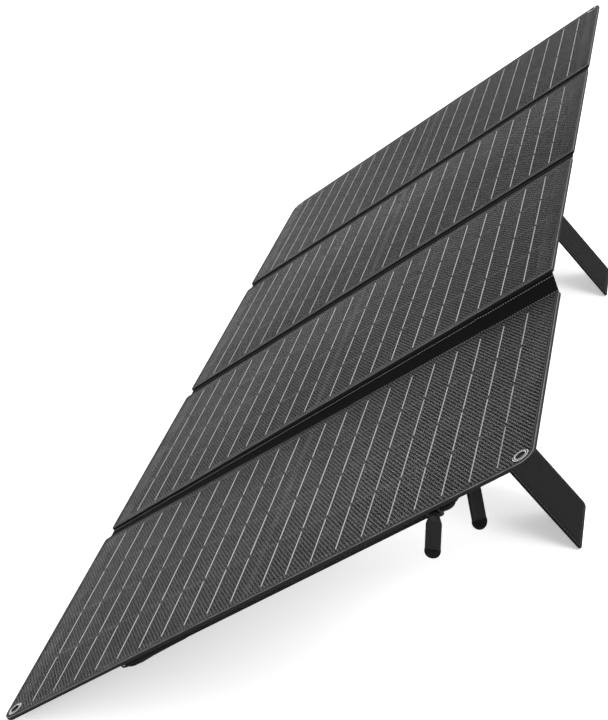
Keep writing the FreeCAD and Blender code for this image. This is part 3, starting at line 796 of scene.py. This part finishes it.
def kick_hinge(panel):
    """The sewn patch above the hinge, whose cloth turns over into the flap."""
    axes = AXES[panel]
    flap, hinge = kick_axes(panel)
    v_span, y_span, n_span = axes.span(f"kick_hinge_tape_{panel}")
    low, high = y_span[0] + 0.6 * MM, y_span[1] - 0.6 * MM
    behind = n_span[0]
    hinge_v = hinge.dot(axes.v)
    drop = (v_span[1] - hinge_v - 1.5 * MM) / 8
    side = [axes.world(v_span[1] - 0.5 * MM - k * drop, 0, behind) for k in range(9)]
    flap_n = flap.span(f"kick_sleeve_{panel}")[2]
    away = min(flap_n, key=lambda n: abs(n - side[-1].dot(flap.n)))
    root = flap.span(f"kick_sleeve_{panel}")[0][0]
    outward = 1 if away == flap_n[1] else -1
    end = [flap.world(root + k * 1.6 * MM, 0, away + outward * 0.12 * MM) for k in range(1, 6)]
    pivot = Vector((hinge.x, 0, hinge.z))
    bend = []
    for k in range(1, 6):
        t = k / 6
        outward_from_pivot = (side[-1] - pivot).lerp(end[0] - pivot, t)
        bend.append(side[-1].lerp(end[0], t) + outward_from_pivot * 0.10 * math.sin(math.pi * t))
    spine = side + bend + end
    directions = [(b - a).normalized() for a, b in zip(spine, spine[1:])]
    directions.append(directions[-1])

    def point(u, t):
        here = spine[round(u * (len(spine) - 1))]
        return Vector((here.x, low + (high - low) * t, here.z))

    def normal(u, t):
        along = directions[round(u * (len(spine) - 1))]
        out = along.cross(Y_AXIS)
        return out if out.dot(-axes.n) > -0.2 else -out

    piece = blend_sheet(f"kick_hinge_cloth_{panel}", len(spine) - 1, 20, point, 0.45 * MM, normal, "kick")
    inset = 2.5 * MM
    top, bottom = v_span[1] - inset, v_span[0] + inset + 1 * MM
    corners = [axes.world(v, y, behind - 0.02 * MM) for v, y in
               ((bottom, low + inset), (top, low + inset), (top, high - inset), (bottom, high - inset))]
    cross = [([corners[0], corners[2]], -axes.n, False), ([corners[1], corners[3]], -axes.n, False)]
    seam = stitch_mesh([(corners, -axes.n, True)] + cross, "thread", f"kick_hinge_seam_{panel}",
                       width=0.45 * MM, height=0.22 * MM)
    start = axes.world(hinge_v + 2 * MM, 0, behind)
    stop = flap.world(root + 1.5 * MM, 0, away)
    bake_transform(piece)
    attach(seam, f"panel_{panel}")
    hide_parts(f"kick_hinge_tape_{panel}")


def limit_strap(panel):
    """Flat webbing from the panel's back to the flap, tight while the flap stands."""
    axes = AXES[panel]
    flap, hinge = kick_axes(panel)
    points = coordinates(NODES[f"kick_limit_strap_{panel}"])
    y_span = (points[:, 1].min(), points[:, 1].max())
    reach = points @ np.array(flap.v)
    foot = Vector(points[reach > reach.max() - 1.2 * MM].mean(0))
    height = points @ np.array(axes.v)
    top = Vector(points[height < height.min() + 1.2 * MM].mean(0))
    seam_length = 24.0 * MM
    knee_panel = top + axes.v * seam_length
    knee_flap = foot - flap.v * seam_length
    corners = [top, knee_panel, knee_flap, foot]
    spine = []
    for a, b, count in zip(corners, corners[1:], (10, 26, 10)):
        spine += [a.lerp(b, k / count) for k in range(count)]
    spine.append(foot)
    smooth = [spine[0]] + [(a + b * 2 + c) / 4 for a, b, c in zip(spine, spine[1:], spine[2:])] + [spine[-1]]
    thickness = 0.8 * MM
    low, high = y_span

    def tangent(index):
        return (smooth[min(index + 1, len(smooth) - 1)] - smooth[max(index - 1, 0)]).normalized()

    def normal(u, t):
        return tangent(round(u * (len(smooth) - 1))).cross(Y_AXIS)

    def point(u, t):
        index = round(u * (len(smooth) - 1))
        here = smooth[index] + normal(u, t) * (thickness / 2)
        return Vector((here.x, low + (high - low) * t, here.z))

    piece = blend_sheet(f"limit_webbing_{panel}", len(smooth) - 1, 12, point, thickness, normal, "webbing")
    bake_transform(piece)
    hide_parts(f"kick_limit_strap_{panel}")


# ---- pouch
POUCH_RADIUS = 8.0 * MM
POUCH_SHOULDER = 6.5 * MM
GUSSET_TURN = 6.2        # millimetres of cloth turned in at the foot


def crown(v, y, v_span, y_span):
    """0 at the pouch's rim, 1 over its middle: a rounded shoulder, then a slow rise."""
    u = 2 * (v - v_span[0]) / (v_span[1] - v_span[0]) - 1
    w = 2 * (y - y_span[0]) / (y_span[1] - y_span[0]) - 1
    rim = min(v - v_span[0], v_span[1] - v, y - y_span[0], y_span[1] - y)
    shoulder = 1 - min(1.0, max(0.0, rim / POUCH_SHOULDER))
    return (0.88 + 0.12 * (1 - u * u) * (1 - w * w)) * math.sqrt(1 - shoulder * shoulder)


def soften_pouch():
    """Divides the cover evenly, lets it settle as cloth under a light push, and creases it."""
    axes = NEAR_AXES
    v_span, y_span, n_span = axes.span("pouch_cover")
    columns, rows = 96, 76
    rim_n, depth = n_span[1], n_span[1] - n_span[0]
    vertices, faces = [], []
    for i in range(columns + 1):
        for j in range(rows + 1):
            a = math.cos(math.pi * (1 - i / columns))
            b = math.cos(math.pi * (1 - j / rows))
            a = 0.6 * a + 0.4 * (2 * i / columns - 1)
            b = 0.6 * b + 0.4 * (2 * j / rows - 1)
            v = v_span[0] + (a + 1) / 2 * (v_span[1] - v_span[0])
            y = y_span[0] + (b + 1) / 2 * (y_span[1] - y_span[0])
            corner = corner_pull(v, y, v_span, y_span)
            level = crown(v, y, v_span, y_span)
            vertices.append(axes.world(corner[0], corner[1], rim_n - depth * level))
    for i in range(columns):
        for j in range(rows):
            a = i * (rows + 1) + j
            faces.append((a, a + 1, a + rows + 2, a + rows + 1))
    cloth = make_object("pouch_cover_cloth", vertices, faces, "pouch")
    rim = cloth.vertex_groups.new(name="rim")
    fixed = [index for index in range(len(vertices))
             if index // (rows + 1) in (0, columns) or index % (rows + 1) in (0, rows)]
    rim.add(fixed, 1.0, "REPLACE")
    settle(cloth)
    crease(cloth, axes, v_span, y_span)
    return cloth, axes, v_span, y_span, n_span


def corner_pull(v, y, v_span, y_span):
    """Moves a grid point near a corner in, so that the grid's outline has the pouch's radius."""
    cv = min(max(v, v_span[0] + POUCH_RADIUS), v_span[1] - POUCH_RADIUS)
    cy = min(max(y, y_span[0] + POUCH_RADIUS), y_span[1] - POUCH_RADIUS)
    dv, dy = v - cv, y - cy
    if dv == 0 or dy == 0:
        return v, y
    square = max(abs(dv), abs(dy))
    scale = square / math.hypot(dv, dy)
    return cv + dv * scale, cy + dy * scale


CLOTH_FRAMES = 20
CLOTH_CAP = 3.0 * MM


def settle(cloth):
    """A short cloth simulation, pinned at the zip; no point moves further than the cap."""
    before = coordinates(cloth)
    modifier = cloth.modifiers.new("cloth", "CLOTH")
    settings = modifier.settings
    settings.quality = 8
    settings.mass = 0.25
    settings.tension_stiffness = 12
    settings.compression_stiffness = 12
    settings.bending_stiffness = 6
    settings.vertex_group_mass = "rim"
    settings.shrink_min = -0.002
    settings.use_pressure = False
    settings.effector_weights.gravity = 0.2
    modifier.collision_settings.use_collision = False
    scene = bpy.context.scene
    for number in range(1, CLOTH_FRAMES + 1):
        scene.frame_set(number)
    apply_modifiers(cloth)
    scene.frame_set(1)
    moved = coordinates(cloth) - before
    length = np.linalg.norm(moved, axis=1, keepdims=True)
    moved *= np.minimum(1.0, CLOTH_CAP / np.maximum(length, 1e-9))
    cloth.data.vertices.foreach_set("co", (before + moved).astype(np.float32).ravel())
    cloth.data.update()


def crease(cloth, axes, v_span, y_span):
    """Soft folds that fan from the corners and along the belly, dying out at the rim."""
    middle_v, middle_y = sum(v_span) / 2, sum(y_span) / 2
    for vertex in cloth.data.vertices:
        v, y = vertex.co.dot(axes.v), vertex.co.dot(axes.y)
        level = crown(v, y, v_span, y_span)
        far = 2 * max(abs(v - middle_v) / (v_span[1] - v_span[0]),
                      abs(y - middle_y) / (y_span[1] - y_span[0]))
        fan = math.sin(26 * math.atan2(v - middle_v, y - middle_y) + 40 * (v + y))
        long_wave = math.sin(150 * v + 34 * y) * 0.5 + math.sin(61 * y - 47 * v) * 0.5
        height = (0.10 * fan * far ** 3 + 0.16 * long_wave) * level * MM
        vertex.co += axes.n * height


def pouch():
    cloth, axes, v_span, y_span, n_span = soften_pouch()
    solid = cloth.modifiers.new("thickness", "SOLIDIFY")
    solid.thickness = 0.9 * MM
    inward = cloth.data.polygons[len(cloth.data.polygons) // 2].normal.dot(axes.n) > 0
    solid.offset = 1 if inward else -1
    apply_modifiers(cloth)
    cloth.data.shade_smooth()
    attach(cloth, "pouch_cover")
    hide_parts("pouch_cover")
    pouch_gusset(axes)


def pouch_gusset(axes):
    """The low cloth wall round the pouch, its foot turned inwards flat on the panel's back."""
    v_span, y_span, n_span = axes.span("pouch_gusset")
    low, high = n_span
    profile = ((0.0, 0.99), (-0.35, 0.75), (-0.42, 0.5), (-0.35, 0.25), (0.0, 0.0), (0.9, 0.0),
               (0.6, 0.5), (0.9, 0.89), (GUSSET_TURN, 0.90), (GUSSET_TURN, 0.99))
    rings = [(outline(v_span, y_span, POUCH_RADIUS, POUCH_RADIUS, inset * MM, 8), low + share * (high - low))
             for inset, share in profile]
    vertices, faces = shell_of_rings(axes, rings, close=False)
    count = len(rings[0][0])
    last = (len(rings) - 1) * count
    for index in range(count):
        following = (index + 1) % count
        faces.append((last + index, last + following, following, index))
    piece = make_object("pouch_gusset_cloth", vertices, faces, "pouch")
    corners = [axes.world(v, y, high - 0.9 * MM)
               for v, y in outline(v_span, y_span, POUCH_RADIUS, POUCH_RADIUS, -0.42 * MM, 6)]
    centre = axes.world(sum(v_span) / 2, sum(y_span) / 2, high)
    runs = []
    for a, b in zip(corners, corners[1:] + corners[:1]):
        out = (b - a).normalized().cross(axes.n)
        if out.dot(a - centre) < 0:
            out = -out
        if (b - a).length > 2.5 * MM:
            runs.append(([a, b], out, False))
    seam = stitch_mesh(runs, "thread", "pouch_gusset_seam", width=0.4 * MM, height=0.2 * MM)
    for made in (piece, seam):
        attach(made, "panel_1")
    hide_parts("pouch_gusset")


# ---- zip and its pulls
TOOTH_PITCH = 1.5 * MM
ZIP_INSET = 0.45 * MM


def zip_half(name, node, body, side):
    """Zip tape with a row of coil teeth along its free edge."""
    axes = NEAR_AXES
    v_span, y_span, n_span = axes.span(node)
    edge_n = n_span[0] if side > 0 else n_span[1]
    away_n = n_span[1] if side > 0 else n_span[0]
    past_end = (y_span[0], y_span[1] + 60 * MM)    # so that only the near corners are rounded
    line = outline(v_span, past_end, POUCH_RADIUS, POUCH_RADIUS, ZIP_INSET, 8)
    stop_y = y_span[1]
    vertices, faces = [], []
    # the line runs from the lower end, round the near side, to the upper end
    kept = [(v, y) for v, y in line if y < stop_y]
    middle_v = sum(v_span) / 2
    kept.sort(key=lambda place: math.atan2(place[0] - middle_v, stop_y - place[1]))
    route = [(v_span[0] + ZIP_INSET, stop_y)] + kept + [(v_span[1] - ZIP_INSET, stop_y)]
    points = [axes.world(v, y, 0) for v, y in route]
    centre = axes.world(sum(v_span) / 2, sum(y_span) / 2, 0)
    for position, along in path_points(points, TOOTH_PITCH):
        out = along.cross(axes.n)
        if out.dot(position - centre) < 0:
            out = -out
        add_tooth(vertices, faces, position + axes.n * (edge_n + side * 0.38 * MM), along, out, axes.n)
    teeth = make_object(f"{name}_teeth", vertices, faces, "zip")
    tape = ribbon_along(points, axes, centre, edge_n + side * 0.35 * MM, away_n, f"{name}_tape")
    for made in (teeth, tape):
        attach(made, body)
    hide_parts(node)


def add_tooth(vertices, faces, centre, along, out, normal):
    """One loop of the nylon coil: a short rounded bar across the tape's edge."""
    base = len(vertices)
    sides = 6
    stations = ((-0.45, 0.5), (-0.25, 1.0), (0.25, 1.0), (0.45, 0.5))
    for offset, fullness in stations:
        for k in range(sides):
            angle = 2 * math.pi * k / sides
            vertices.append(centre + out * (offset * MM)
                            + along * (math.cos(angle) * 0.5 * MM * fullness)
                            + normal * (math.sin(angle) * 0.36 * MM * fullness))
    skin(faces, base, len(stations), sides)


def ribbon_along(points, axes, centre, n0, n1, name):
    """Woven tape standing on edge along the zip's line."""
    vertices, faces = [], []
    outs = []
    for index, position in enumerate(points):
        along = (points[min(index + 1, len(points) - 1)] - points[max(index - 1, 0)]).normalized()
        out = along.cross(axes.n)
        outs.append(out if out.dot(position - centre) > 0 else -out)
    for position, out in zip(points, outs):
        for depth, n in ((0.25, n0), (0.25, n1), (-0.25, n1), (-0.25, n0)):
            vertices.append(position + out * (depth * MM) + axes.n * n)
    skin(faces, 0, len(points), 4)
    piece = make_object(name, vertices, faces, "tape")
    return sharp_by_angle(piece, 40)


PULL_LENGTH = 27.4 * MM
PULL_HALF = 4.5 * MM
PULL_TOP_HALF = 3.0 * MM
PULL_SHOULDER = 5.0 * MM
PULL_T = 2.2 * MM
PULL_HOLE_R = 1.35 * MM


def rubber_shell(name, rings, pivot, side, hang, axis, look):
    """A closed skin over rings of (side, hang) points, each ring at its own depth along the axis."""
    vertices = [pivot + side * a + hang * b + axis * depth for points, depth in rings for a, b in points]
    faces = []
    skin(faces, 0, len(rings), len(rings[0][0]))
    return make_object(name, vertices, faces, look)


def pull_tab(name, node, body, joint_name):
    """A moulded rubber tab: rounded rim, sunk face, and a ring round its hole."""
    turning = joint(joint_name)
    axis = Vector(turning["axis"]).normalized()
    pivot = Vector(turning["pos_m"])
    hang = -UP + axis * axis.z
    hang.normalize()
    side = axis.cross(hang).normalized()
    half, top, shoulder, thickness = PULL_HALF, PULL_TOP_HALF, PULL_SHOULDER, PULL_T
    tip = PULL_LENGTH - half

    def contour(inset):
        wide, narrow = half - inset, top - inset
        points = []
        for k in range(17):
            angle = math.pi * k / 16
            points.append((wide * math.cos(angle), tip + wide * math.sin(angle)))
        shares = [k / 5 for k in range(6)]
        points += [(-wide, tip - (tip - shoulder) * t) for t in shares[:5]]
        points += [(-wide + (half - top) * t, shoulder - shoulder * t) for t in shares[:5]]
        for k in range(13):
            angle = math.pi + math.pi * k / 12
            points.append((narrow * math.cos(angle), narrow * math.sin(angle)))
        points += [(narrow + (half - top) * t, shoulder * t) for t in shares[1:]]
        return points + [(wide, shoulder + (tip - shoulder) * t) for t in shares[1:5]]

    sections = ((0.0, 0.0), (0.06, 0.5), (0.25, 0.8), (0.6, 0.98),
                (0.9, 1.0), (1.3, 0.98), (1.6, 0.8), (1.9, 0.72))
    rings = [(contour(inset * MM), -height * thickness / 2) for inset, height in reversed(sections)]
    rings += [(contour(inset * MM), height * thickness / 2) for inset, height in sections[1:]]
    piece = rubber_shell(name, rings, pivot, side, hang, axis, "pull")
    cut_holes(piece, [pivot], axis, PULL_HOLE_R)
    sharp_by_angle(piece, 42)
    # the tab's round end gets a darker, smoother shell
    end = darker_end_shell(f"{name}_end", pivot, side, hang, axis, half, tip, thickness)
    for made in (piece, end):
        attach(made, body)
    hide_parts(node)


def darker_end_shell(name, pivot, side, hang, axis, half, tip, thickness):
    """A thin shell over the round end of a pull tab, darker and smoother than the tab."""
    start = tip - 1.0 * MM
    grow = 0.12 * MM

    def contour(inset):
        reach = half + grow - inset
        angles = [math.pi * k / 20 for k in range(21)]
        points = [(reach * math.cos(angle), tip + reach * math.sin(angle)) for angle in angles]
        return points + [(-reach, start), (reach, start)]

    sections = ((0.0, 0.35), (0.12, 0.75), (0.45, 0.97), (0.9, 1.0))
    deep = thickness / 2 + grow
    rings = [(contour(inset * MM), -height * deep) for inset, height in reversed(sections)]
    rings += [(contour(inset * MM), height * deep) for inset, height in sections]
    return sharp_by_angle(rubber_shell(name, rings, pivot, side, hang, axis, "pull_dip"), 42)


# ---- stage
FLOOR_HALF = 30       # metres
CAMERA_PLACE = (0.17282, -1.13767, 0.67012)
CAMERA_PITCH = 61.81
CAMERA_YAW = 12.13
CAMERA_LENS = 77.95


def stage():
    floor = bpy.data.meshes.new("floor")
    corners = [(x * FLOOR_HALF, y * FLOOR_HALF, 0) for x, y in ((-1, -1), (1, -1), (1, 1), (-1, 1))]
    floor.from_pydata(corners, [], [(0, 1, 2, 3)])
    floor.materials.append(floor_material())
    made = add_object("floor", floor)
    made.location.z = CAD_BOX[0].z - 0.2 * MM


def area_light(name, place, target, size, power):
    light = bpy.data.lights.new(name, "AREA")
    light.energy = power
    light.size = size
    lamp = add_object(name, light)
    lamp.location = place
    lamp.rotation_euler = (Vector(target) - Vector(place)).to_track_quat("-Z", "Y").to_euler()


def lights():
    world = bpy.data.worlds.new("studio")
    world.use_nodes = True
    background = world.node_tree.nodes["Background"]
    background.inputs["Color"].default_value = (1, 1, 1, 1)
    background.inputs["Strength"].default_value = 1.0
    bpy.context.scene.world = world
    area_light("key", (1.4, -1.2, 2.6), (0, 0, 0.1), 1.6, 38)
    area_light("rim", (1.6, 1.6, 1.6), (0, 0, 0.1), 1.2, 26)


def camera():
    data = bpy.data.cameras.new("camera")
    data.lens = CAMERA_LENS
    data.sensor_width = 36
    made = add_object("camera", data)
    made.location = CAMERA_PLACE
    made.rotation_euler = (math.radians(CAMERA_PITCH), 0, math.radians(CAMERA_YAW))
    bpy.context.scene.camera = made
    bpy.context.scene.view_settings.view_transform = "Standard"


# ---- the whole object
def build():
    finish_cad_nodes()
    for panel in PANELS:
        front_film(panel)
        front_stitches(panel)
        back_cover(panel)
        if eyelet_mounts(panel):
            eyelets(panel)
    for fold in FOLDS:
        fold_cloth(fold)
    for panel in KICK_PANELS:
        kick_sleeve(panel)
        kick_hinge(panel)
        limit_strap(panel)
    pouch()
    zip_half("zip_upper", "zip_upper", "panel_1", 1)
    zip_half("zip_lower", "zip_lower", "pouch_cover", -1)
    pull_tab("pull_tab_near_rubber", "pull_tab_near", "pull_near", "pull_tab_near_swing")
    pull_tab("pull_tab_top_rubber", "pull_tab_top", "pull_top", "pull_tab_top_swing")


build()
stage()
lights()
camera()
